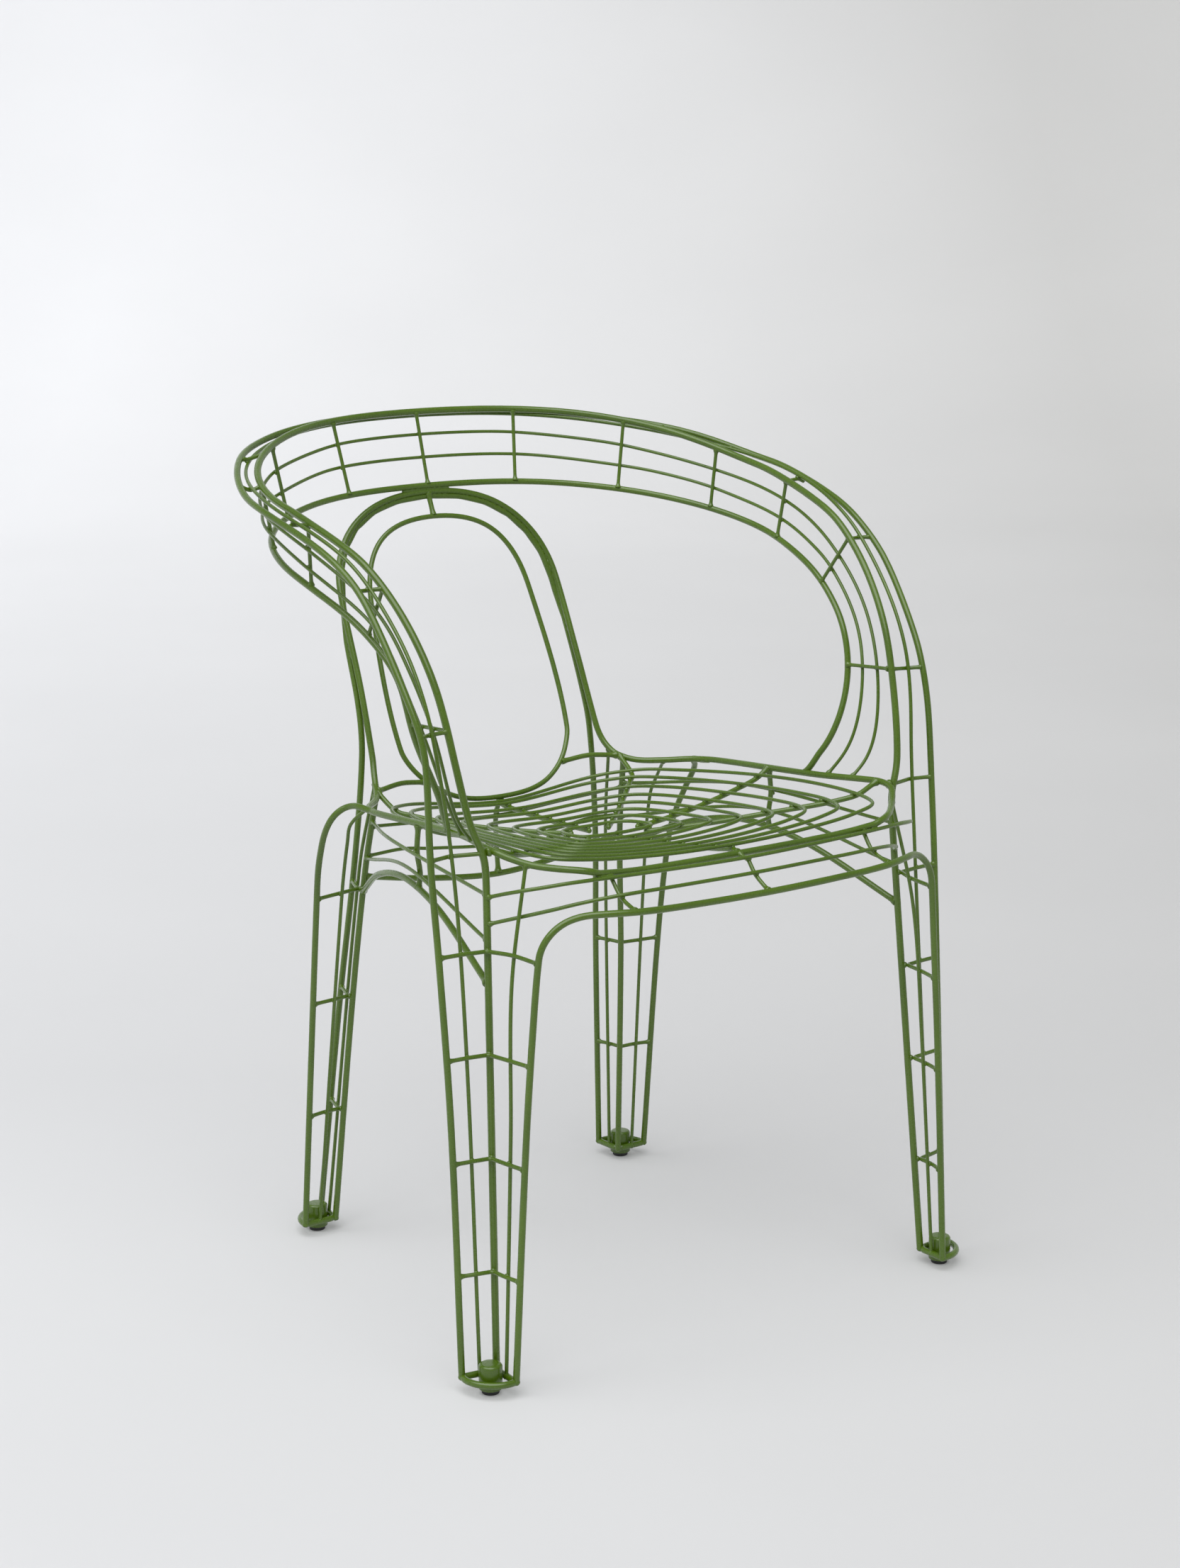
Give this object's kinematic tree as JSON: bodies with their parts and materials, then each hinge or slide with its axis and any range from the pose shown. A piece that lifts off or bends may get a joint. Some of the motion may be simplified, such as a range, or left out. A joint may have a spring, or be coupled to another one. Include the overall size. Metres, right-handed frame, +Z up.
{
  "type": "wire mesh armchair",
  "caption": "Armchair drawn in welded green wire: arm band from legs round the back, arched splat, dished seat of nested wire loops, laddered legs.",
  "frame": {"origin": "on the floor, below the middle of the chair's box", "axes": "+Z up, the chair faces -Y, +X to the sitter's left"},
  "size_m": [0.5718, 0.5624, 0.7621],
  "materials": {
    "powder_coat": "satin",
    "glide": "matte"
  },
  "bodies": {
    "root": {"arm_band_ties": "powder_coat", "back_links": "powder_coat", "back_loop": "powder_coat", "band_wire_lower": "powder_coat", "band_wire_upper": "powder_coat", "front_apron_posts": "powder_coat", "front_apron_wire_lower": "powder_coat", "front_apron_wire_upper": "powder_coat", "front_arch": "powder_coat", "front_foot_boss_left": "powder_coat", "front_foot_boss_right": "powder_coat", "front_foot_ring_left": "powder_coat", "front_foot_ring_right": "powder_coat", "front_leg_thin_wire_left": "powder_coat", "front_leg_thin_wire_right": "powder_coat", "front_leg_ties_left": "powder_coat", "front_leg_ties_right": "powder_coat", "glides": "glide", "lower_rim": "powder_coat", "middle_rim": "powder_coat", "outer_rim": "powder_coat", "rear_apron_wires": "powder_coat", "rear_brace": "powder_coat", "rear_foot_boss_left": "powder_coat", "rear_foot_boss_right": "powder_coat", "rear_foot_ring_left": "powder_coat", "rear_foot_ring_right": "powder_coat", "rear_leg_back_edge_left": "powder_coat", "rear_leg_back_edge_right": "powder_coat", "rear_leg_back_wire_left": "powder_coat", "rear_leg_back_wire_right": "powder_coat", "rear_leg_corner_left": "powder_coat", "rear_leg_corner_right": "powder_coat", "rear_leg_side_edge_left": "powder_coat", "rear_leg_side_edge_right": "powder_coat", "rear_leg_side_wire_left": "powder_coat", "rear_leg_side_wire_right": "powder_coat", "rear_leg_ties_left": "powder_coat", "rear_leg_ties_right": "powder_coat", "rear_post": "powder_coat", "rim_ties": "powder_coat", "seat_frame": "powder_coat", "seat_loop_1": "powder_coat", "seat_loop_2": "powder_coat", "seat_loop_3": "powder_coat", "seat_loop_4": "powder_coat", "seat_loop_5": "powder_coat", "seat_loop_6": "powder_coat", "seat_loop_7": "powder_coat", "seat_loop_8": "powder_coat", "seat_spokes_front": "powder_coat", "seat_spokes_rear": "powder_coat", "seat_spokes_side": "powder_coat", "side_apron_wires_left": "powder_coat", "side_apron_wires_right": "powder_coat", "side_brace_left": "powder_coat", "side_brace_right": "powder_coat", "side_post_left": "powder_coat", "side_post_right": "powder_coat", "top_rim": "powder_coat"}
  },
  "joints": []
}
